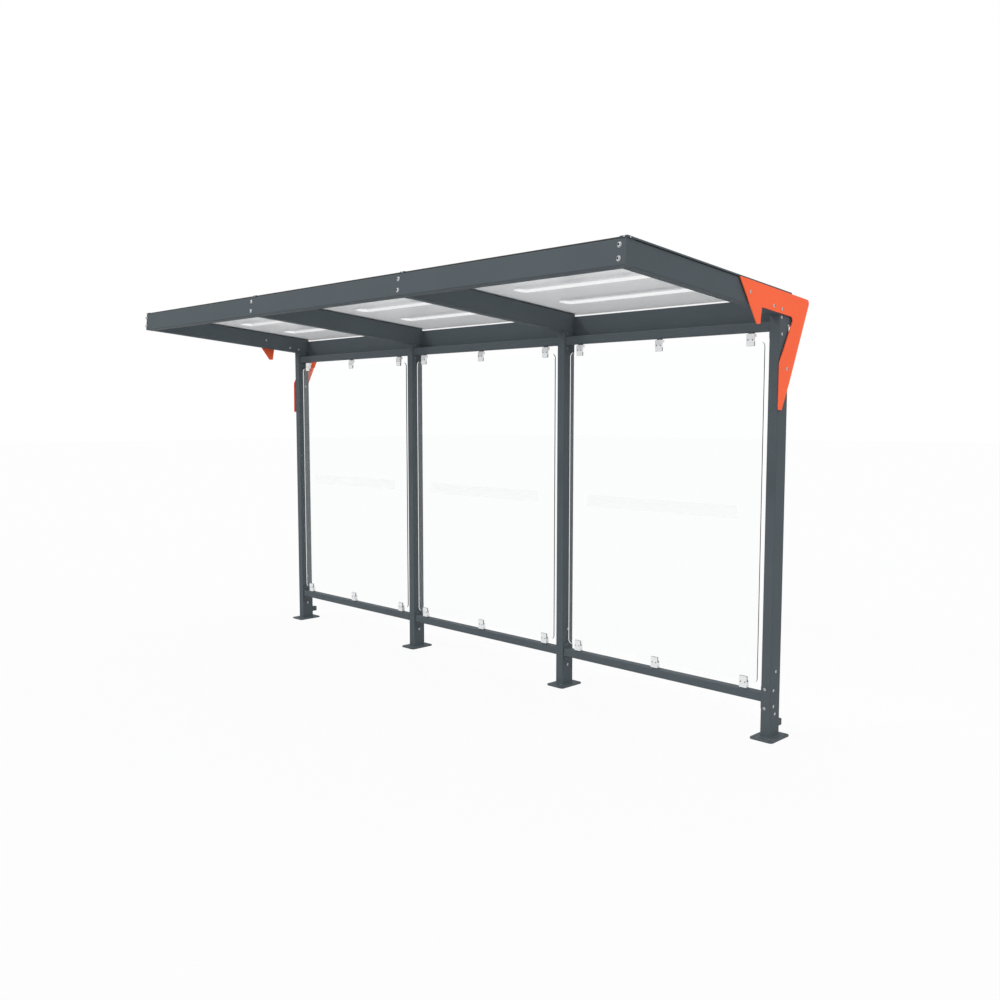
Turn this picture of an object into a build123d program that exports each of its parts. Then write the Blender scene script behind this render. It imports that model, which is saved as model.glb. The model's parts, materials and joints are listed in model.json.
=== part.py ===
"""Open-fronted bike shelter: three glazed bays under a lean-to roof.

The origin is the centre of the underside of the left base plate. +X runs along the
shelter towards the right end as seen from the open front, +Y points to the rear and
+Z is up. Every dimension is in millimetres.
"""
import os
from math import cos, radians, sin, tan

from build123d import *

# Layout: four posts carry three equal bays under a roof that falls to the rear.
BAYS = 3
BAY = 1500.0
SLOPE = 5.0
SEAT_Z = 2290.0  # underside of the rafters above the front faces of the posts

# Posts stand on rounded base plates with four anchor holes.
POST_W = 60.0
POST_D = 100.0
TUBE_WALL = 3.0
POST_R = 6.0
PLATE_W = 140.0
PLATE_D = 200.0
PLATE_T = 8.0
PLATE_R = 20.0
ANCHOR_X = 100.0
ANCHOR_Y = 160.0
ANCHOR_R = 7.0

# Square rails run between the posts at knee height and under the roof.
RAIL = 50.0
RAIL_R = 5.0
RAIL_SETBACK = 10.0
RAIL_LOW_Z = 225.0
RAIL_HIGH_Z = 2232.0
FLANGE_H = 130.0
FLANGE_T = 5.0
FLANGE_R = 8.0

# Rafters and the front beam share one tube height and both follow the roof slope.
RAFTER_W = 60.0
RAFTER_H = 120.0
RAFTER_R = 6.0
BEAM_D = 60.0
BEAM_FRONT_Y = -1358.0  # front face at half its height
BEAM_CAP_T = 3.0

# The gutter is a folded trough behind the posts that drains through the end posts.
GUTTER_D = 100.0
GUTTER_H = 150.0
GUTTER_TOP_Z = 2389.0
GUTTER_T = 2.0
GUTTER_HEM = 12.0
DRAIN_R = 14.0
DRAIN_RISE = 24.0
SPOUT = 38.0
SPOUT_WALL = 2.0
SPOUT_L = 45.0
SPOUT_Z = 71.0

# Each bay has one pressed clear sheet, held down on rubber by cover strips. An angled
# seal closes the front edges of the sheets along the beam.
GASKET_T = 2.0
SEAL_D = 20.0
SEAL_SETBACK = 2.0
SHEET_T = 4.0
SHEET_GAP = 10.0
SHEET_REAR_Y = 85.0
RIB_L = 1080.0
RIB_W = 120.0
RIB_H = 20.0
RIB_CORNER = 26.0
RIB_FLANK = 40.0
RIB_Y = (-1060.0, -670.0, -280.0)
STRIP_W = 60.0
STRIP_T = 2.0
STRIP_FRONT_Y = -1328.0
STRIP_REAR_Y = 60.0
STRIP_OVERHANG = 6.0

# Corner plates brace the end rafters to the end posts and stand off on spacers. The
# outline is given as (y, z) points with their corner radii, the spacers as (y, z).
CORNER_T = 5.0
CORNER_GAP = 6.0
CORNER_OUTLINE = (
    ((-463.0, 2446.5), 4.0),
    ((247.0, 2383.0), 22.0),
    ((43.0, 1928.0), 30.0),
    ((-27.5, 1790.0), 5.0),
    ((-60.5, 1790.0), 5.0),
    ((-58.0, 2036.0), 40.0),
    ((78.0, 2281.0), 20.0),
    ((-248.5, 2311.5), 4.0),
    ((-262.0, 2226.0), 4.0),
    ((-293.0, 2224.0), 4.0),
)
SPACER_R = 9.0
SPACERS = ((-361.5, 2378.0), (-133.5, 2326.5), (-48.5, 2316.0), (17.0, 2007.5))

# Glass back wall, gripped top and bottom by clamps that stand on lugs on the rails.
GLASS_T = 8.0
GLASS_W = 1370.0
GLASS_Y = -30.0
GLASS_LOW_Z = 291.0
GLASS_HIGH_Z = 2156.0
GLASS_R = 28.0
LUG_W = 30.0
LUG_D = 16.0
LUG_H = 8.0
CLAMP_X = (-603.0, 0.0, 603.0)
CLAMP_W = 48.0
CLAMP_FRONT_Y = -43.5
CLAMP_REAR_Y = -18.5
CLAMP_H = 65.0
CLAMP_RIDGE = 1.5  # the front face is proud by this much along its middle
CLAMP_NECK_W = 24.0
CLAMP_NECK_H = 55.0
CLAMP_LOW_BLOCK_H = 41.0
CLAMP_HIGH_BLOCK_H = 16.5

# Values worked out from the dimensions above.
POST_X = [BAY * i for i in range(BAYS + 1)]
BAY_X = [BAY * (i + 0.5) for i in range(BAYS)]
LEFT_X = -POST_W / 2
RIGHT_X = BAY * BAYS + POST_W / 2
LENGTH = RIGHT_X - LEFT_X
POST_FRONT_Y = -POST_D / 2
POST_REAR_Y = POST_D / 2
RAIL_Y = POST_FRONT_Y + RAIL_SETBACK + RAIL / 2
REACH = 4000.0

# Roof frame: local z = 0 is the rafters' underside, local +y runs down the slope.
ROOF = Plane(
    origin=(0, POST_FRONT_Y, SEAT_Z),
    x_dir=(1, 0, 0),
    z_dir=(0, sin(radians(SLOPE)), cos(radians(SLOPE))),
).location


def roof_y(y, height=0.0):
    """Distance down the slope of the point at `height` whose depth in the row is y."""
    return (y - POST_FRONT_Y) / cos(radians(SLOPE)) - height * tan(radians(SLOPE))


# Distances down the slope, square to it, where the front pieces meet.
BEAM_FRONT = roof_y(BEAM_FRONT_Y, RAFTER_H / 2)
BEAM_REAR = BEAM_FRONT + BEAM_D
SEAL_FRONT = BEAM_FRONT + SEAL_SETBACK
SHEET_FRONT = SEAL_FRONT + GASKET_T


def tube_section(width, depth, wall, radius):
    """Cross-section of a rectangular tube with rolled outer corners."""
    return RectangleRounded(width, depth, radius) - Rectangle(width - 2 * wall, depth - 2 * wall)


def row_box(x, y, z):
    """Box between pairs of limits along the three row axes."""
    size = Box(x[1] - x[0], y[1] - y[0], z[1] - z[0])
    return Pos((x[0] + x[1]) / 2, (y[0] + y[1]) / 2, (z[0] + z[1]) / 2) * size


def base_plate(x):
    """Foot plate with rounded corners and four anchor holes."""
    plate = extrude(RectangleRounded(PLATE_W, PLATE_D, PLATE_R), PLATE_T)
    for hole in GridLocations(ANCHOR_X, ANCHOR_Y, 2, 2):
        plate -= hole * Pos(0, 0, PLATE_T / 2) * Cylinder(ANCHOR_R, 2 * PLATE_T)
    return Pos(x, 0, 0) * plate


def post(x, drains):
    """Upright tube, cut to the roof slope, with water passages in an end post."""
    blank = extrude(tube_section(POST_W, POST_D, TUBE_WALL, POST_R), SEAT_Z)
    upright = Pos(x, 0, PLATE_T) * blank
    upright -= ROOF * Pos(0, 0, REACH / 2) * Box(3 * REACH, REACH, REACH)
    if drains:
        inlet = Rot(X=90) * Cylinder(DRAIN_R, 4 * TUBE_WALL)
        upright -= Pos(x, POST_REAR_Y, gutter_drain_z()) * inlet
        bore = SPOUT - 2 * SPOUT_WALL
        upright -= Pos(x, POST_REAR_Y, SPOUT_Z) * Box(bore, 4 * TUBE_WALL, bore)
    return upright


def gutter_drain_z():
    """Height of the drain hole's centre above the trough's floor."""
    return GUTTER_TOP_Z - GUTTER_H + DRAIN_RISE


def rail(bay_x, z, side):
    """Square tube with end flanges; side is 1 with the clamp lugs on top, -1 with them below."""
    clear = BAY - POST_W
    bore = RAIL - 2 * TUBE_WALL
    section = Plane.YZ * tube_section(RAIL, RAIL, TUBE_WALL, RAIL_R)
    body = Pos(-clear / 2, 0, 0) * extrude(section, clear)
    flange = Plane.YZ * (RectangleRounded(RAIL, FLANGE_H, FLANGE_R) - Rectangle(bore, bore))
    body += Pos(-clear / 2, 0, 0) * extrude(flange, FLANGE_T)
    body += Pos(clear / 2 - FLANGE_T, 0, 0) * extrude(flange, FLANGE_T)
    for offset in CLAMP_X:
        lug = Box(LUG_W, LUG_D, LUG_H)
        body += Pos(offset, GLASS_Y - RAIL_Y, side * (RAIL + LUG_H) / 2) * lug
    return Pos(bay_x, RAIL_Y, z) * body


def rafter(x):
    """Sloping tube, cut square at the front beam and closed where it meets the gutter."""
    seat = ROOF * Pos(x, BEAM_REAR + REACH, RAFTER_H / 2)
    section = Plane.XZ * tube_section(RAFTER_W, RAFTER_H, TUBE_WALL, RAFTER_R)
    core = Plane.XZ * Rectangle(RAFTER_W - TUBE_WALL, RAFTER_H - TUBE_WALL)
    width = (x - RAFTER_W, x + RAFTER_W)
    tube = (seat * extrude(section, REACH)) & row_box(width, (-REACH, POST_REAR_Y), (0, REACH))
    closed = (POST_REAR_Y - TUBE_WALL, POST_REAR_Y)
    end = (seat * extrude(core, REACH)) & row_box(width, closed, (0, REACH))
    return tube + end


def front_beam():
    """Rectangular tube across the front ends of the rafters."""
    section = Plane.YZ * tube_section(BEAM_D, RAFTER_H, TUBE_WALL, RAFTER_R)
    tube = extrude(section, LENGTH - 2 * BEAM_CAP_T)
    return ROOF * Pos(LEFT_X + BEAM_CAP_T, BEAM_FRONT + BEAM_D / 2, RAFTER_H / 2) * tube


def beam_end_caps():
    """Flat caps that close the two ends of the front beam."""
    face = Plane.YZ * RectangleRounded(BEAM_D, RAFTER_H, RAFTER_R)
    cap = Pos(0, BEAM_FRONT + BEAM_D / 2, RAFTER_H / 2) * extrude(face, BEAM_CAP_T)
    ends = (LEFT_X, RIGHT_X - BEAM_CAP_T)
    return Compound(children=[ROOF * Pos(x, 0, 0) * cap for x in ends])


def rear_gutter():
    """Folded trough with hemmed lips, closed ends and two drain holes."""
    rear_y = POST_REAR_Y + GUTTER_D
    floor_z = GUTTER_TOP_Z - GUTTER_H
    trough = row_box((LEFT_X, RIGHT_X), (POST_REAR_Y, rear_y), (floor_z, GUTTER_TOP_Z))
    trough -= row_box(
        (LEFT_X + GUTTER_T, RIGHT_X - GUTTER_T),
        (POST_REAR_Y + GUTTER_T, rear_y - GUTTER_T),
        (floor_z + GUTTER_T, GUTTER_TOP_Z + GUTTER_T),
    )
    trough += row_box(
        (LEFT_X, RIGHT_X),
        (rear_y - GUTTER_HEM, rear_y),
        (GUTTER_TOP_Z - GUTTER_T, GUTTER_TOP_Z),
    )
    for x in (POST_X[0], POST_X[-1]):
        hole = Rot(X=90) * Cylinder(DRAIN_R, 4 * GUTTER_T)
        trough -= Pos(x, POST_REAR_Y, gutter_drain_z()) * hole
    return trough


def drain_spout(x):
    """Short square outlet at the foot of an end post."""
    section = Plane.XZ * tube_section(SPOUT, SPOUT, SPOUT_WALL, 2 * SPOUT_WALL)
    return Pos(x, POST_REAR_Y + SPOUT_L, SPOUT_Z) * extrude(section, SPOUT_L)


def pressing(length, width, height):
    """Raised field with sloping flanks and cut corners, as pressed into a sheet."""
    field = Rectangle(length, width)
    field = chamfer(field.vertices(), RIB_CORNER)
    return extrude(field, height, taper=RIB_FLANK)


def roof_panel(bay_x):
    """Clear sheet with raised cross ribs that stop short of its side edges."""
    rear = roof_y(SHEET_REAR_Y, RAFTER_H)
    sheet = Box(BAY - SHEET_GAP, rear - SHEET_FRONT, SHEET_T)
    sheet = Pos(bay_x, (SHEET_FRONT + rear) / 2, SHEET_T / 2) * sheet
    for y in RIB_Y:
        seat = Pos(bay_x, roof_y(y, RAFTER_H), 0)
        sheet += seat * pressing(RIB_L, RIB_W, RIB_H)
        sheet -= seat * pressing(RIB_L - 2 * SHEET_T, RIB_W - 2 * SHEET_T, RIB_H - SHEET_T)
    return ROOF * Pos(0, 0, RAFTER_H + GASKET_T) * sheet


def gasket(x):
    """Rubber tape between a rafter and the sheets."""
    front = SEAL_FRONT + SEAL_D
    rear = roof_y(POST_REAR_Y, RAFTER_H)
    tape = Pos(x, (front + rear) / 2, RAFTER_H + GASKET_T / 2) * Box(RAFTER_W, rear - front, GASKET_T)
    return ROOF * tape


def front_seal():
    """Angled rubber strip along the beam, under and in front of the sheets' front edges."""
    seat = Pos(LEFT_X + LENGTH / 2, SEAL_FRONT, RAFTER_H)
    flat = Pos(0, SEAL_D / 2, GASKET_T / 2) * Box(LENGTH, SEAL_D, GASKET_T)
    lip_h = GASKET_T + SHEET_T
    lip = Pos(0, GASKET_T / 2, lip_h / 2) * Box(LENGTH, GASKET_T, lip_h)
    return ROOF * seat * (flat + lip)


def cover_strip(x, side):
    """Clamping strip over a rafter; side is -1 or 1 where it ends the roof, else 0."""
    front = roof_y(STRIP_FRONT_Y, RAFTER_H)
    rear = roof_y(STRIP_REAR_Y, RAFTER_H)
    base = RAFTER_H + GASKET_T + SHEET_T
    middle = (front + rear) / 2
    strip = Pos(x, middle, base + STRIP_T / 2) * Box(STRIP_W, rear - front, STRIP_T)
    if side:
        edge = x + side * STRIP_W / 2
        fold = Box(STRIP_OVERHANG, rear - front, STRIP_T)
        strip += Pos(edge + side * STRIP_OVERHANG / 2, middle, base + STRIP_T / 2) * fold
        drop = GASKET_T + SHEET_T + STRIP_T
        lip = Box(STRIP_T, rear - front, drop)
        lip_x = edge + side * (STRIP_OVERHANG - STRIP_T / 2)
        strip += Pos(lip_x, middle, RAFTER_H + drop / 2) * lip
    return ROOF * strip


def corner_plate(side):
    """Angular bracing plate on hexagonal spacers; side is -1 at the left end, 1 at the right."""
    corners = [point for point, _ in CORNER_OUTLINE]
    radii = [radius for _, radius in CORNER_OUTLINE]
    outline = FilletPolyline(*corners, radius=radii, close=True)
    plate = Pos(CORNER_GAP, 0, 0) * extrude(Plane.YZ * make_face(outline), CORNER_T)
    for y, z in SPACERS:
        plate += Pos(0, y, z) * extrude(Plane.YZ * RegularPolygon(SPACER_R, 6), CORNER_GAP)
    if side < 0:
        return Pos(LEFT_X, 0, 0) * mirror(plate, about=Plane.YZ)
    return Pos(RIGHT_X, 0, 0) * plate


def glass_pane(bay_x):
    """Toughened pane with rounded corners and a full-height clear edge."""
    face = Plane.XZ * RectangleRounded(GLASS_W, GLASS_HIGH_Z - GLASS_LOW_Z, GLASS_R)
    middle_z = (GLASS_LOW_Z + GLASS_HIGH_Z) / 2
    return Pos(bay_x, GLASS_Y + GLASS_T / 2, middle_z) * extrude(face, GLASS_T)


def glass_clamp(block_h, edge_h):
    """Slotted clamp that stands at z = 0; the pane's edge sits at edge_h above its foot."""
    face_y = CLAMP_FRONT_Y + CLAMP_RIDGE
    jaw_y = GLASS_Y - GLASS_T / 2
    jaw = Polyline(
        (face_y, 0),
        (CLAMP_FRONT_Y, CLAMP_H / 2),
        (face_y, CLAMP_H),
        (jaw_y, CLAMP_H),
        (jaw_y, 0),
        close=True,
    )
    clamp = Pos(-CLAMP_W / 2, 0, 0) * extrude(Plane.YZ * make_face(jaw), CLAMP_W)
    clamp += row_box((-CLAMP_W / 2, CLAMP_W / 2), (face_y, CLAMP_REAR_Y), (0, block_h))
    neck = (-CLAMP_NECK_W / 2, CLAMP_NECK_W / 2)
    clamp += row_box(neck, (jaw_y, CLAMP_REAR_Y), (0, CLAMP_NECK_H))
    slot = Box(2 * CLAMP_W, GLASS_T, CLAMP_H)
    return clamp - Pos(0, GLASS_Y, edge_h + CLAMP_H / 2) * slot


def low_clamps(bay_x):
    """Three clamps that carry the lower edge of a pane."""
    foot_z = RAIL_LOW_Z + RAIL / 2 + LUG_H
    clamp = glass_clamp(CLAMP_LOW_BLOCK_H, GLASS_LOW_Z - foot_z)
    return Compound(children=[Pos(bay_x + offset, 0, foot_z) * clamp for offset in CLAMP_X])


def high_clamps(bay_x):
    """Three clamps that hold the upper edge of a pane."""
    foot_z = RAIL_HIGH_Z - RAIL / 2 - LUG_H
    clamp = mirror(glass_clamp(CLAMP_HIGH_BLOCK_H, foot_z - GLASS_HIGH_Z), about=Plane.XY)
    return Compound(children=[Pos(bay_x + offset, 0, foot_z) * clamp for offset in CLAMP_X])


def build():
    """All nodes of the shelter by name."""
    nodes = {}
    for i, x in enumerate(POST_X):
        end = {0: -1, BAYS: 1}.get(i, 0)
        nodes[f"base_plate_{i + 1}"] = base_plate(x)
        nodes[f"post_{i + 1}"] = post(x, bool(end))
        nodes[f"rafter_{i + 1}"] = rafter(x)
        nodes[f"gasket_{i + 1}"] = gasket(x)
        nodes[f"cover_strip_{i + 1}"] = cover_strip(x, end)
    for i, x in enumerate(BAY_X):
        nodes[f"bottom_rail_{i + 1}"] = rail(x, RAIL_LOW_Z, 1)
        nodes[f"top_rail_{i + 1}"] = rail(x, RAIL_HIGH_Z, -1)
        nodes[f"roof_panel_{i + 1}"] = roof_panel(x)
        nodes[f"glass_pane_{i + 1}"] = glass_pane(x)
        nodes[f"glass_clamps_bottom_{i + 1}"] = low_clamps(x)
        nodes[f"glass_clamps_top_{i + 1}"] = high_clamps(x)
    nodes["front_beam"] = front_beam()
    nodes["beam_end_caps"] = beam_end_caps()
    nodes["front_seal"] = front_seal()
    nodes["rear_gutter"] = rear_gutter()
    nodes["corner_plate_left"] = corner_plate(-1)
    nodes["corner_plate_right"] = corner_plate(1)
    nodes["drain_spout_left"] = drain_spout(POST_X[0])
    nodes["drain_spout_right"] = drain_spout(POST_X[-1])
    return nodes


os.makedirs("parts", exist_ok=True)
for name, shape in build().items():
    export_step(shape, f"parts/{name}.step")
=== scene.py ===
"""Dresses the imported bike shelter: camera, light, finishes, bolts, welds and glass details.

Places on the shelter are in millimetres in the frame of the CAD model: the origin is under
the left post, +X runs to the right end, +Y to the glazed rear and +Z up. The camera, the
light and the floor are in metres.
"""

import json
from math import cos, pi, radians, sin

import bmesh
import bpy
from mathutils import Matrix, Vector


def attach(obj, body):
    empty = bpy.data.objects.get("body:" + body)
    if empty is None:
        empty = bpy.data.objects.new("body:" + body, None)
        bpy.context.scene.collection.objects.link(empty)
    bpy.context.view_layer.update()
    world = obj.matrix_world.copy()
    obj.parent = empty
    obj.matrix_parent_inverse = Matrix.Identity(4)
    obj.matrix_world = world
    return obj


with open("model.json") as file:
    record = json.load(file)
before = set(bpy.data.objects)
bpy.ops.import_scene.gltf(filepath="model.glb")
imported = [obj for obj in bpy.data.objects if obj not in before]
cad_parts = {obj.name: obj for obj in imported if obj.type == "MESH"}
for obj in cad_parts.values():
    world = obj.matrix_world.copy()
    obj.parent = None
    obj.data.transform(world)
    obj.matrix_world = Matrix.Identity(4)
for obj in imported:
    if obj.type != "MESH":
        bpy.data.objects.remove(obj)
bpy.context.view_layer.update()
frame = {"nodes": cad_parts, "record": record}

MM = 0.001
WHITE = (1, 1, 1, 1)
SCENE = bpy.context.scene
SCENE.view_settings.view_transform = "Standard"

# Camera, solved from the photograph's parallel edges, with its angles in degrees.
SENSOR_WIDTH = 36
FOCAL_LENGTH = 35.21
CAMERA_PLACE = (7.1737, -4.7474, 1.7643)
CAMERA_DOWN = 4.971
CAMERA_HEADING = 45.151

# Light: the fill grows from HORIZON to ZENITH, which it reaches where a direction's z is FILL_TOP.
FILL_COLOUR = (0.98, 0.99, 1, 1)
HORIZON = 0.9
ZENITH = 1.42
FILL_TOP = 0.7
KEY_PLACE = (-4.2, -6.5, 5.4)
KEY_STRENGTH = 0.73
KEY_ANGLE = 6

# Floor: a plain pale square a little below the base plates.
FLOOR_HALF = 60
FLOOR_PLACE = (2.25, 0, -0.0005)
FLOOR_TONE = (0.55, 0.55, 0.55, 1)
FLOOR_WHITE = 0.92

# Posts, bays and base plates.
BAYS = 3
BAY = 1500
LENGTH = BAYS * BAY
POST_X = [BAY * i for i in range(BAYS + 1)]
PANE_X = [BAY * (i + 0.5) for i in range(BAYS)]
POST_W = 60
POST_D = 100
POST_R = 6
BASE_PLATE_T = 8

# Roof: places on it are measured from the seat, where a rafter's underside meets a post's front face.
SLOPE = radians(5)
SEAT_Z = 2290
BEAM_FRONT = -1318.2
STRIP_TOP = 128

# Directions out of a surface.
FRONT = (0, -1, 0)
RIGHT = (1, 0, 0)
LEFT = (-1, 0, 0)
ROOF_FRONT = (0, -cos(SLOPE), sin(SLOPE))
ROOF_UP = (0, sin(SLOPE), cos(SLOPE))

# Glass panes, and the clamps that grip their lower and upper edges.
GLASS_FRONT = -34
GLASS_BACK = -26
GLASS_LOW = 291
GLASS_HIGH = 2156
CLAMP_X = (-603, 0, 603)
CLAMP_W = 48
CLAMP_NECK_W = 24
CLAMP_H = 65
CLAMP_NECK_H = 55
CLAMP_BLOCK_H = 41
LOW_CLAMP_FOOT = 258
HIGH_CLAMP_FOOT = 2199

# Radius of each kind of bolt head and screw head.
BEAM_BOLT = 10.5
PLATE_BOLT = 7.5
POST_BOLT = 7
NOSE_SCREW = 4
ROOF_SCREW = 4.5
CLAMP_SCREW = 3.6

# Proportions of a head, as shares of its radius, with the angles of its dome in degrees.
WASHER_H = 0.16
WASHER_R = 1.22
WASHER_RIM_H = 0.7 * WASHER_H
WASHER_TOP_R = WASHER_R - 0.4 * WASHER_H
HEAD_RISE = 0.6
SOCKET_R = 0.52
SOCKET_FLOOR_R = 0.94 * SOCKET_R
SOCKET_DEPTH = 0.75 * HEAD_RISE
SOCKET_RINGS = 3  # the dome's last ring, and the mouth and floor of the socket
DOME_LOW = 12
DOME_HIGH = 62
DOME_STEPS = 5
SIDES = 24
TURN = 17  # each head is turned by this many degrees more than the one before

# Beam bolts: they stand to the left of the posts' axes, by less towards the right end.
BEAM_BOLT_SHIFT = -29
BEAM_BOLT_STEP = 7.4
BEAM_BOLT_HEIGHTS = (31, 91)

# Bolts on the sides of the corner plates and posts, as (y, z).
PLATE_FACE = 4541
PLATE_POINTS = ((-361.5, 2378), (-133.5, 2326.5), (-48.5, 2316), (17, 2007.5))
HEAD_POINTS = ((-30.7, 2276), (-23.2, 2188), (43.7, 2235))
RAIL_POINTS = ((-24, 2186), (-24, 2278))
FOOT_POINTS = ((-22, 271), (-18, 182), (-2, 137), (-1, 373))

# Bolts on the front face of the right end post.
FRONT_BOLT_X = LENGTH - 7
FRONT_BOLT_HEIGHTS = (275, 168)

# Folded ends of the cover strips over the beam, with their sides and screws from each post's axis.
NOSE_EDGE = 36.4
NOSE_SIDES = ((-NOSE_EDGE, 9), (-2, 36), (-2, 36), (-9, NOSE_EDGE))
NOSE_FRONT = BEAM_FRONT - 1
NOSE_REAR = -1286
NOSE_LOW = 120.3
NOSE_HIGH = 128.5
NOSE_BEVEL = 0.8
NOSE_SCREW_X = (-16, 16, 16, 16)
NOSE_SCREW_HEIGHT = 124
SIDE_SCREW_DOWN = -1298
SIDE_SCREW_HEIGHT = 122.5

# Screws down the cover strips.
ROOF_SCREW_COUNT = 6
ROOF_SCREW_START = -1200
ROOF_SCREW_STEP = 240

# Clamp screws, in pairs at half the clamps' height.
CLAMP_SCREW_SHIFTS = (-13.5, 13.5)
CLAMP_SCREW_Y = -43.3
CLAMP_SCREW_HEIGHTS = (LOW_CLAMP_FOOT + CLAMP_H / 2, HIGH_CLAMP_FOOT - CLAMP_H / 2)

# Rubber pads in the clamps, which show at their sides and ends and press on the glass.
PAD_PROUD = 0.5
NECK_PAD_PROUD = 0.6
PAD_BITE = 0.05
PAD_BEVEL = 0.4
PAD_FRONT = -39.5
PAD_REAR = -22
JAW_PAD = (CLAMP_W / 2 + PAD_PROUD, PAD_FRONT, GLASS_FRONT + PAD_BITE)
NECK_PAD = (CLAMP_NECK_W / 2 + NECK_PAD_PROUD, GLASS_BACK - PAD_BITE, PAD_REAR)
PADS = (
    (JAW_PAD, GLASS_LOW, LOW_CLAMP_FOOT + CLAMP_H + PAD_PROUD),
    (NECK_PAD, LOW_CLAMP_FOOT + CLAMP_BLOCK_H, LOW_CLAMP_FOOT + CLAMP_NECK_H + PAD_PROUD),
    (JAW_PAD, HIGH_CLAMP_FOOT - CLAMP_H - PAD_PROUD, GLASS_HIGH),
    (NECK_PAD, HIGH_CLAMP_FOOT - CLAMP_NECK_H - PAD_PROUD, GLASS_HIGH),
)

# Weld beads: points along the bead are WELD_STEP apart, and its size ripples from point to point.
WELD_STEP = 1.5
WELD_SIZE = 5.0
WELD_RISE = 0.9
WELD_HOLLOW = 0.75
WELD_ARC_STEPS = 5
WELD_ROOT = (-0.5, BASE_PLATE_T - 0.5)
RIPPLES = ((0.5, 2.1), (0.4, 0.37))  # each as (height, angle from point to point)

# Frosted stripe on each pane.
STRIPE_W = 1077
STRIPE_H = 73
STRIPE_R = 14
STRIPE_Z = 1229.5
STRIPE_FRONT = GLASS_FRONT - 0.4
STRIPE_BACK = GLASS_FRONT - 0.05

CORNER_STEPS = 6  # steps in each round corner of an outline


# Helpers for shader nodes.
def scaled(tree, value, share):
    """Socket with that share of a value."""
    node = tree.nodes.new("ShaderNodeMath")
    node.operation = "MULTIPLY"
    node.inputs[1].default_value = share
    tree.links.new(value, node.inputs[0])
    return node.outputs[0]


def remap(tree, value, low, high, start=0.0, end=1.0, curve="LINEAR"):
    """Socket that goes from low to high while the value goes from start to end."""
    node = tree.nodes.new("ShaderNodeMapRange")
    node.interpolation_type = curve
    node.inputs["From Min"].default_value = start
    node.inputs["From Max"].default_value = end
    node.inputs["To Min"].default_value = low
    node.inputs["To Max"].default_value = high
    tree.links.new(value, node.inputs["Value"])
    return node.outputs["Result"]


def blend(tree, factor, first, second, output):
    """Sends a mix of two shaders to the output, all of the second where the factor is 1."""
    mix = tree.nodes.new("ShaderNodeMixShader")
    tree.links.new(factor, mix.inputs[0])
    tree.links.new(first.outputs[0], mix.inputs[1])
    tree.links.new(second.outputs[0], mix.inputs[2])
    tree.links.new(mix.outputs[0], output.inputs["Surface"])


# Camera, light and floor.
def make_camera():
    """Camera that sees the shelter as the photograph does."""
    data = bpy.data.cameras.new("camera")
    data.sensor_width = SENSOR_WIDTH
    data.lens = FOCAL_LENGTH
    camera = bpy.data.objects.new("camera", data)
    camera.location = CAMERA_PLACE
    camera.rotation_euler = (radians(90 - CAMERA_DOWN), 0, radians(CAMERA_HEADING))
    SCENE.collection.objects.link(camera)
    SCENE.camera = camera


def clear_rays(tree):
    """Socket that is 1 for the camera, mirror and see-through rays, and 0 for the others."""
    path = tree.nodes.new("ShaderNodeLightPath")
    found = path.outputs["Is Camera Ray"]
    for name in ("Is Glossy Ray", "Is Transmission Ray"):
        either = tree.nodes.new("ShaderNodeMath")
        either.operation = "MAXIMUM"
        tree.links.new(found, either.inputs[0])
        tree.links.new(path.outputs[name], either.inputs[1])
        found = either.outputs[0]
    return found


def make_world():
    """White where it is seen, and a softer fill that grows with height where it lights."""
    world = bpy.data.worlds.new("studio")
    world.use_nodes = True
    SCENE.world = world
    tree = world.node_tree
    tree.nodes.clear()
    seen = tree.nodes.new("ShaderNodeBackground")
    seen.inputs["Color"].default_value = WHITE
    seen.inputs["Strength"].default_value = 1.0
    fill = tree.nodes.new("ShaderNodeBackground")
    fill.inputs["Color"].default_value = FILL_COLOUR
    direction = tree.nodes.new("ShaderNodeTexCoord")
    axes = tree.nodes.new("ShaderNodeSeparateXYZ")
    tree.links.new(direction.outputs["Generated"], axes.inputs[0])
    strength = remap(tree, axes.outputs["Z"], HORIZON, ZENITH, end=FILL_TOP, curve="SMOOTHSTEP")
    tree.links.new(strength, fill.inputs["Strength"])
    blend(tree, clear_rays(tree), fill, seen, tree.nodes.new("ShaderNodeOutputWorld"))


def make_floor():
    """Pale floor that is almost white where it is seen and takes soft shadows."""
    mesh = bpy.data.meshes.new("floor")
    corners = [(FLOOR_HALF * x, FLOOR_HALF * y, 0) for x, y in ((-1, -1), (1, -1), (1, 1), (-1, 1))]
    mesh.from_pydata(corners, [], [(0, 1, 2, 3)])
    floor = bpy.data.objects.new("floor", mesh)
    floor.location = FLOOR_PLACE
    SCENE.collection.objects.link(floor)
    material = bpy.data.materials.new("floor")
    material.use_nodes = True
    tree = material.node_tree
    tree.nodes.clear()
    diffuse = tree.nodes.new("ShaderNodeBsdfDiffuse")
    diffuse.inputs["Color"].default_value = FLOOR_TONE
    glow = tree.nodes.new("ShaderNodeEmission")
    glow.inputs["Color"].default_value = WHITE
    glow.inputs["Strength"].default_value = 1.0
    share = scaled(tree, clear_rays(tree), FLOOR_WHITE)
    blend(tree, share, diffuse, glow, tree.nodes.new("ShaderNodeOutputMaterial"))
    mesh.materials.append(material)


def make_key():
    """Soft sun from the front and left."""
    data = bpy.data.lights.new("key", "SUN")
    data.energy = KEY_STRENGTH
    data.angle = radians(KEY_ANGLE)
    light = bpy.data.objects.new("key", data)
    light.location = KEY_PLACE
    light.rotation_euler = (-light.location).to_track_quat("-Z", "Y").to_euler()
    SCENE.collection.objects.link(light)


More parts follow.
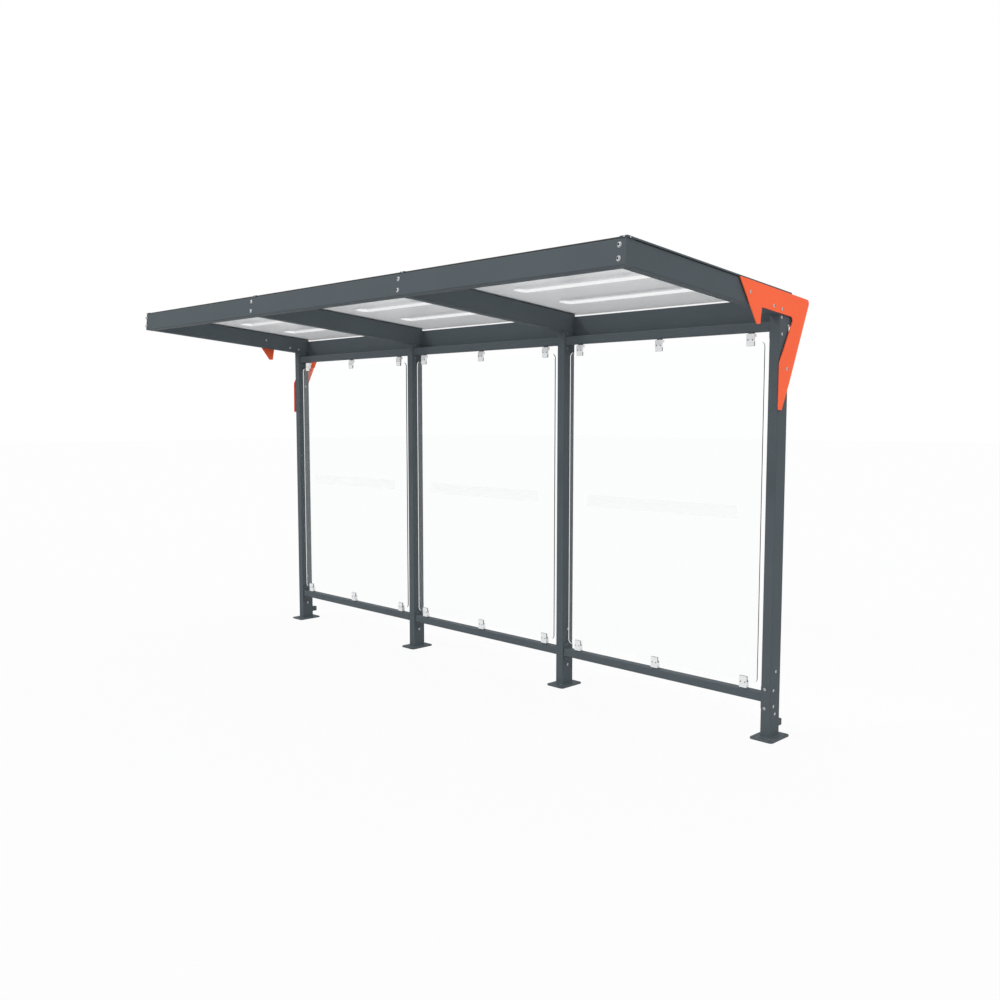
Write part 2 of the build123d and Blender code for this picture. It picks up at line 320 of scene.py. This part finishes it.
# Materials.
def new_material(name, colour):
    material = bpy.data.materials.new(name)
    material.use_nodes = True
    tree = material.node_tree
    shader = tree.nodes["Principled BSDF"]
    shader.inputs["Base Color"].default_value = (*colour, 1)
    return material, tree, shader


def noise(tree, scale, detail=2.0):
    """Socket with a cloudy pattern in the piece's own coordinates."""
    coordinates = tree.nodes.new("ShaderNodeTexCoord")
    texture = tree.nodes.new("ShaderNodeTexNoise")
    texture.inputs["Scale"].default_value = scale
    texture.inputs["Detail"].default_value = detail
    tree.links.new(coordinates.outputs["Object"], texture.inputs["Vector"])
    return texture.outputs["Fac"]


def vary_roughness(tree, shader, rough, change, pattern):
    """Roughness that a pattern moves up and down by the change."""
    tree.links.new(remap(tree, pattern, rough - change, rough + change), shader.inputs["Roughness"])


def bump(tree, shader, height, strength, distance):
    node = tree.nodes.new("ShaderNodeBump")
    node.inputs["Strength"].default_value = strength
    node.inputs["Distance"].default_value = distance
    tree.links.new(height, node.inputs["Height"])
    tree.links.new(node.outputs["Normal"], shader.inputs["Normal"])


def powder_coat(name, colour, rough):
    """Satin coat with fine orange peel and a faint change of tone from place to place."""
    material, tree, shader = new_material(name, colour)
    shader.inputs["Specular IOR Level"].default_value = 0.06
    tint = tree.nodes.new("ShaderNodeVectorMath")
    tint.operation = "SCALE"
    tint.inputs[0].default_value = colour
    tone = remap(tree, noise(tree, scale=3.0), low=0.94, high=1.06)
    tree.links.new(tone, tint.inputs["Scale"])
    tree.links.new(tint.outputs[0], shader.inputs["Base Color"])
    vary_roughness(tree, shader, rough, change=0.04, pattern=noise(tree, scale=35.0))
    bump(tree, shader, noise(tree, scale=700.0, detail=1.0), strength=0.08, distance=0.0004)
    return material


def matt_black(name):
    """Matt black with a fine grain: rubber for the seals, and painted shade inside the sockets of the
    heads.
    """
    material, tree, shader = new_material(name, (0.02, 0.02, 0.022))
    shader.inputs["Roughness"].default_value = 0.7
    bump(tree, shader, noise(tree, scale=400.0), strength=0.2, distance=0.0003)
    return material


def satin_metal(name, colour, rough):
    """Bare metal with a fine grain."""
    material, tree, shader = new_material(name, colour)
    shader.inputs["Metallic"].default_value = 1.0
    vary_roughness(tree, shader, rough, change=0.06, pattern=noise(tree, scale=60.0, detail=3.0))
    bump(tree, shader, noise(tree, scale=900.0), strength=0.06, distance=0.0002)
    return material


def shadow_pass(tree, shader, share):
    """Lets that share of the light through to what lies behind the surface."""
    path = tree.nodes.new("ShaderNodeLightPath")
    clear = tree.nodes.new("ShaderNodeBsdfTransparent")
    factor = scaled(tree, path.outputs["Is Shadow Ray"], share)
    blend(tree, factor, shader, clear, tree.nodes["Material Output"])


def clear_glass(name, colour):
    """Toughened glass: clear, with Fresnel reflections."""
    material, tree, shader = new_material(name, colour)
    shader.inputs["Roughness"].default_value = 0.0
    shader.inputs["IOR"].default_value = 1.33
    shader.inputs["Transmission Weight"].default_value = 1.0
    shadow_pass(tree, shader, share=0.95)
    return material


def roof_sheet(name, colour):
    """Clear plastic that looks denser where it is seen at a flat angle."""
    material, tree, shader = new_material(name, colour)
    shader.inputs["Roughness"].default_value = 0.25
    angle = tree.nodes.new("ShaderNodeLayerWeight")
    angle.inputs["Blend"].default_value = 0.5
    dense = remap(tree, angle.outputs["Facing"], low=0.12, high=0.56, start=0.35, end=0.9)
    tree.links.new(dense, shader.inputs["Alpha"])
    shadow_pass(tree, shader, share=0.85)
    return material


def frosting(name):
    """Thin frosted layer on glass, hardly denser than the glass itself."""
    material, tree, shader = new_material(name, (0.8, 0.82, 0.82))
    shader.inputs["Roughness"].default_value = 0.8
    shader.inputs["Specular IOR Level"].default_value = 0.1
    shader.inputs["Alpha"].default_value = 0.12
    shadow_pass(tree, shader, share=0.95)
    return material


MATERIALS = {
    "frame_paint": powder_coat("frame_paint", (0.079, 0.094, 0.104), rough=0.58),
    "accent_paint": powder_coat("accent_paint", (0.94, 0.138, 0.053), rough=0.55),
    "rubber_seal": matt_black("rubber_seal"),
    "roof_sheet": roof_sheet("roof_sheet", (0.66, 0.67, 0.675)),
    "glass": clear_glass("glass", (0.985, 0.998, 0.992)),
    "clamp_metal": satin_metal("clamp_metal", (0.8, 0.81, 0.82), rough=0.35),
    # Black painted shade for the inside of the sockets in bolt and screw heads.
    "socket_shade": matt_black("socket_shade"),
    "zinc": satin_metal("zinc", (0.55, 0.56, 0.58), rough=0.3),
    "dark_steel": satin_metal("dark_steel", (0.12, 0.12, 0.13), rough=0.4),
    "frosting": frosting("frosting"),
}


def dress_nodes():
    """Gives each CAD node the material that the record names for it."""
    finishes = {row["node"]: row["material_slot"] for row in frame["record"]["subparts"]}
    for name, node in frame["nodes"].items():
        for slot in node.material_slots:
            slot.link = "OBJECT"
            slot.material = MATERIALS[finishes[name]]


# Shapes and the pieces made from them.
def take_mesh(name, shape):
    """Mesh of a bmesh, which is freed."""
    mesh = bpy.data.meshes.new(name)
    shape.to_mesh(mesh)
    shape.free()
    return mesh


def add_mesh(target, mesh, matrix):
    """Copies a mesh into a bmesh, moved by a matrix."""
    start = len(target.verts)
    target.from_mesh(mesh)
    target.verts.ensure_lookup_table()
    bmesh.ops.transform(target, matrix=matrix, verts=target.verts[start:])


def add_shape(target, shape, matrix=Matrix()):
    """Copies one bmesh into another, moved by a matrix, and frees the first."""
    mesh = take_mesh("part", shape)
    add_mesh(target, mesh, matrix)
    bpy.data.meshes.remove(mesh)


def piece(name, shape, finishes, smooth=35):
    """Turns a bmesh into a piece of the shelter, sharp where faces turn by more than the angle."""
    bmesh.ops.recalc_face_normals(shape, faces=shape.faces[:])
    mesh = take_mesh(name, shape)
    for finish in finishes:
        mesh.materials.append(MATERIALS[finish])
    mesh.shade_smooth()
    mesh.set_sharp_from_angle(angle=radians(smooth))
    made = bpy.data.objects.new(name, mesh)
    SCENE.collection.objects.link(made)
    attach(made, "root")


def place(position, outward):
    """Matrix that stands a part on a point, with the part's z axis in the outward direction."""
    tilt = Vector(outward).to_track_quat("Z", "Y").to_matrix().to_4x4()
    return Matrix.Translation(Vector(position) * MM) @ tilt


def make_heads(name, head, spots, finish):
    """One piece with a copy of the head at each (position, outward) spot."""
    mesh = take_mesh("part", head)
    group = bmesh.new()
    for k, spot in enumerate(spots):
        add_mesh(group, mesh, place(*spot) @ Matrix.Rotation(radians(TURN * k), 4, "Z"))
    bpy.data.meshes.remove(mesh)
    # Material slot 1 is the black painted shade inside the sockets.
    piece(name, group, [finish, "socket_shade"])


def turned(profile):
    """Closed shape turned about z from (radius, height) pairs; a third value makes a ring hexagonal."""
    shape = bmesh.new()
    rings = []
    for radius, height, *hexagonal in profile:
        ring = []
        for k in range(SIDES):
            angle = 2 * pi * k / SIDES
            reach = radius
            if hexagonal:
                reach *= cos(pi / 6) / cos(angle % (pi / 3) - pi / 6)
            ring.append(shape.verts.new((reach * cos(angle), reach * sin(angle), height)))
        rings.append(ring)
    for low, high in zip(rings, rings[1:]):
        for k in range(SIDES):
            n = (k + 1) % SIDES
            shape.faces.new((low[k], low[n], high[n], high[k]))
    shape.faces.new(rings[0][::-1])
    shape.faces.new(rings[-1])
    return shape


def button_head(size, washer=True):
    """Domed head of that radius in millimetres, with a hexagon socket in material slot 1, black as
    painted shade in its recess.
    """
    radius = size * MM
    rim, rim_top = radius * WASHER_R, radius * WASHER_TOP_R
    base = radius * WASHER_H if washer else 0.0
    rise = radius * HEAD_RISE
    shape = bmesh.new()
    if washer:
        add_shape(shape, turned([(rim, 0), (rim, radius * WASHER_RIM_H), (rim_top, base)]))
    dome = [(radius, base)]
    for k in range(DOME_STEPS + 1):
        angle = radians(DOME_LOW + (DOME_HIGH - DOME_LOW) * k / DOME_STEPS)
        out = radius * cos(angle) / cos(radians(DOME_LOW))
        dome.append((out, base + rise * sin(angle) / sin(radians(DOME_HIGH))))
    top = base + rise
    mouth = (radius * SOCKET_R, top, True)
    pit = (radius * SOCKET_FLOOR_R, top - radius * SOCKET_DEPTH, True)
    head = turned(dome + [mouth, pit])
    head.verts.ensure_lookup_table()
    last_rings = set(head.verts[-SOCKET_RINGS * SIDES:])
    # The socket's faces take slot 1, painted black for the shade in the recess.
    for face in head.faces:
        if last_rings.issuperset(face.verts):
            face.material_index = 1
    add_shape(shape, head)
    return shape


def box(target, corner, opposite, bevel, matrix=Matrix()):
    """Adds a box with rounded edges between two corners."""
    low, high = Vector(corner) * MM, Vector(opposite) * MM
    size = Matrix.Diagonal((*(high - low), 1))
    shape = bmesh.new()
    bmesh.ops.create_cube(shape, size=1, matrix=Matrix.Translation((low + high) / 2) @ size)
    edges = shape.edges[:]
    bmesh.ops.bevel(shape, geom=edges, offset=bevel * MM, segments=2, profile=0.5, affect="EDGES")
    add_shape(target, shape, matrix)


def rounded_outline(width, depth, radius):
    """Points around a rectangle with rounded corners, centred on the origin."""
    points = []
    for k, (sx, sy) in enumerate(((1, 1), (-1, 1), (-1, -1), (1, -1))):
        centre = Vector((sx * (width / 2 - radius), sy * (depth / 2 - radius)))
        for j in range(CORNER_STEPS + 1):
            angle = pi / 2 * (k + j / CORNER_STEPS)
            points.append(centre + radius * Vector((cos(angle), sin(angle))))
    return points


# Spots for bolts and screws, each a point and the direction out of the surface.
def on_roof(x, down, height):
    """Point at a distance down the slope from the seat and a height above the rafters' underside."""
    return (
        x,
        -POST_D / 2 + down * cos(SLOPE) + height * sin(SLOPE),
        SEAT_Z - down * sin(SLOPE) + height * cos(SLOPE),
    )


def roof_matrix(x):
    """Frame of the roof at x: y runs down the slope, z stands up from the rafters' underside."""
    return Matrix.Translation(Vector(on_roof(x, 0, 0)) * MM) @ Matrix.Rotation(-SLOPE, 4, "X")


def both_ends(x, y, z):
    """Spot that faces right, and its mirror image at the other end of the row."""
    return [((x, y, z), RIGHT), ((LENGTH - x, y, z), LEFT)]


def both_sides(x, y, z):
    """Spots on the right and left sides of the post at x."""
    return [((x + POST_W / 2, y, z), RIGHT), ((x - POST_W / 2, y, z), LEFT)]


# Pieces.
def make_beam_bolts():
    spots = []
    for k, x in enumerate(POST_X):
        for height in BEAM_BOLT_HEIGHTS:
            spot_x = x + BEAM_BOLT_SHIFT + BEAM_BOLT_STEP * k
            spots.append((on_roof(spot_x, BEAM_FRONT, height), ROOF_FRONT))
    make_heads("beam_bolts", button_head(BEAM_BOLT), spots, "zinc")


def make_corner_plate_bolts():
    spots = []
    for y, z in PLATE_POINTS:
        spots += both_ends(PLATE_FACE, y, z)
    make_heads("corner_plate_bolts", button_head(PLATE_BOLT), spots, "zinc")


def make_post_bolts():
    """Bolts at the heads and feet of the posts, and those that come through from the corner plates."""
    spots = []
    for y, z in HEAD_POINTS:
        spots += both_ends(LENGTH + POST_W / 2, y, z)
    for y, z in PLATE_POINTS + HEAD_POINTS[:2]:
        spots += both_ends(POST_W / 2, y, z)
    for x in POST_X:
        for y, z in FOOT_POINTS:
            spots += both_sides(x, y, z)
    for x in POST_X[1:-1]:
        for y, z in RAIL_POINTS:
            spots += both_sides(x, y, z)
    spots += [((FRONT_BOLT_X, -POST_D / 2, z), FRONT) for z in FRONT_BOLT_HEIGHTS]
    make_heads("post_bolts", button_head(POST_BOLT), spots, "zinc")


def make_strip_noses():
    """Short folded ends that carry the cover strips over the front beam, with their screws."""
    noses = bmesh.new()
    spots = []
    for x, (left, right), screw_x in zip(POST_X, NOSE_SIDES, NOSE_SCREW_X):
        low, high = (left, NOSE_FRONT, NOSE_LOW), (right, NOSE_REAR, NOSE_HIGH)
        box(noses, low, high, NOSE_BEVEL, roof_matrix(x))
        spots.append((on_roof(x + screw_x, NOSE_FRONT, NOSE_SCREW_HEIGHT), ROOF_FRONT))
    for x, side in ((-NOSE_EDGE, LEFT), (LENGTH + NOSE_EDGE, RIGHT)):
        spots.append((on_roof(x, SIDE_SCREW_DOWN, SIDE_SCREW_HEIGHT), side))
    piece("strip_noses", noses, ["frame_paint"])
    head = button_head(NOSE_SCREW, washer=False)
    make_heads("strip_nose_screws", head, spots, "clamp_metal")


def make_roof_screws():
    """Coated screws down every cover strip."""
    spots = []
    for x in POST_X:
        for k in range(ROOF_SCREW_COUNT):
            down = ROOF_SCREW_START + ROOF_SCREW_STEP * k
            spots.append((on_roof(x, down, STRIP_TOP), ROOF_UP))
    make_heads("roof_screws", button_head(ROOF_SCREW), spots, "frame_paint")


def make_clamp_parts():
    """Rubber pads in the clamps' jaws and screws on their faces."""
    pads = bmesh.new()
    spots = []
    for pane_x in PANE_X:
        for offset in CLAMP_X:
            x = pane_x + offset
            for shift in CLAMP_SCREW_SHIFTS:
                spots += [((x + shift, CLAMP_SCREW_Y, z), FRONT) for z in CLAMP_SCREW_HEIGHTS]
            for (half, front, rear), low, high in PADS:
                box(pads, (x - half, front, low), (x + half, rear, high), PAD_BEVEL)
    piece("clamp_liners", pads, ["rubber_seal"])
    head = button_head(CLAMP_SCREW, washer=False)
    make_heads("clamp_screws", head, spots, "dark_steel")


def weld_section(k):
    """Closed section of the bead at its point k, as (distance out from the post, height)."""
    size = WELD_SIZE + sum(height * sin(k * angle) for height, angle in RIPPLES)
    section = [WELD_ROOT]
    for j in range(WELD_ARC_STEPS + 1):
        angle = pi / 2 * j / WELD_ARC_STEPS
        reach = size * cos(angle) * (1 - WELD_HOLLOW * sin(angle) ** 2)
        section.append((reach, BASE_PLATE_T + WELD_RISE * size * sin(angle)))
    return section


def make_welds():
    """Fillet welds around the foot of each post, with a fine ripple."""
    outline = rounded_outline(POST_W, POST_D, POST_R)
    path = []
    for here, ahead in zip(outline, outline[1:] + outline[:1]):
        count = max(1, round((ahead - here).length / WELD_STEP))
        path += [here.lerp(ahead, j / count) for j in range(count)]
    welds = bmesh.new()
    for x in POST_X:
        rings = []
        for k, point in enumerate(path):
            along = (path[(k + 1) % len(path)] - path[k - 1]).normalized()
            out = Vector((along.y, -along.x))
            ring = []
            for reach, height in weld_section(k):
                spot = point + out * reach
                ring.append(welds.verts.new(((x + spot.x) * MM, spot.y * MM, height * MM)))
            rings.append(ring)
        for ring, following in zip(rings, rings[1:] + rings[:1]):
            for j in range(len(ring)):
                n = (j + 1) % len(ring)
                welds.faces.new((ring[j], following[j], following[n], ring[n]))
    piece("foot_welds", welds, ["frame_paint"], smooth=80)


def make_stripes():
    """Frosted safety stripe across the middle of each pane."""
    stripes = bmesh.new()
    outline = rounded_outline(STRIPE_W, STRIPE_H, STRIPE_R)
    for x in PANE_X:
        front, back = [
            [stripes.verts.new(((x + p.x) * MM, y * MM, (STRIPE_Z + p.y) * MM)) for p in outline]
            for y in (STRIPE_FRONT, STRIPE_BACK)
        ]
        for k in range(len(outline)):
            n = (k + 1) % len(outline)
            stripes.faces.new((front[k], front[n], back[n], back[k]))
        stripes.faces.new(front)
        stripes.faces.new(back[::-1])
    piece("safety_stripes", stripes, ["frosting"])


make_camera()
make_world()
make_floor()
make_key()
dress_nodes()
make_beam_bolts()
make_corner_plate_bolts()
make_post_bolts()
make_strip_noses()
make_roof_screws()
make_clamp_parts()
make_welds()
make_stripes()
